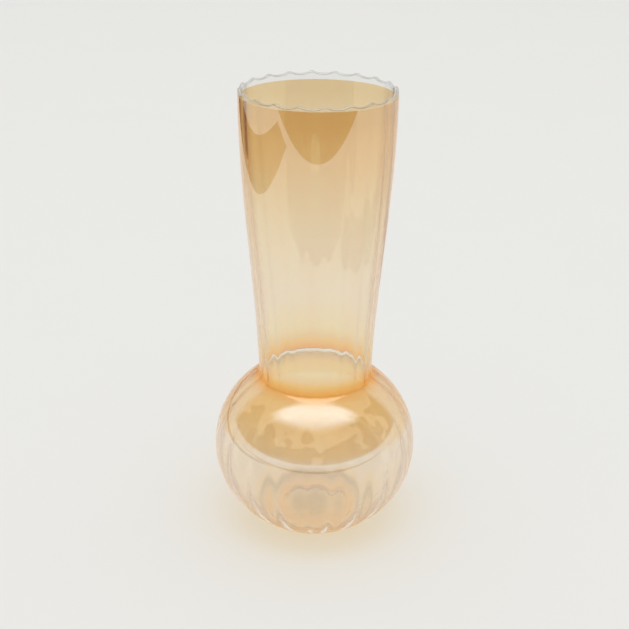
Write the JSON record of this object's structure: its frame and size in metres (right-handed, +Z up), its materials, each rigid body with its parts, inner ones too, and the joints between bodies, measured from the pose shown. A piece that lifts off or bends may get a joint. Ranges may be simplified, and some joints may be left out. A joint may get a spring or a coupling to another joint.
{
  "type": "gourd vase",
  "caption": "Gourd vase of blown optic glass: a flared ribbed neck with a clear wavy lip on a flattened ribbed globe, standing on a ring with a pushed-up base.",
  "frame": {"origin": "centre of the standing ring, on the plane the vase stands on", "axes": "+Z up the axis of the vase towards the mouth; the vase is round about it"},
  "size_m": [0.1128, 0.1128, 0.25],
  "materials": {
    "clear_glass": "fire polished",
    "lustred_glass": "champagne lustre on blown glass"
  },
  "bodies": {
    "root": {"fire_polished_lip": "clear_glass", "ribbed_neck": "lustred_glass", "neck_seal": "lustred_glass", "ribbed_globe": "lustred_glass", "standing_base": "lustred_glass"}
  },
  "joints": []
}
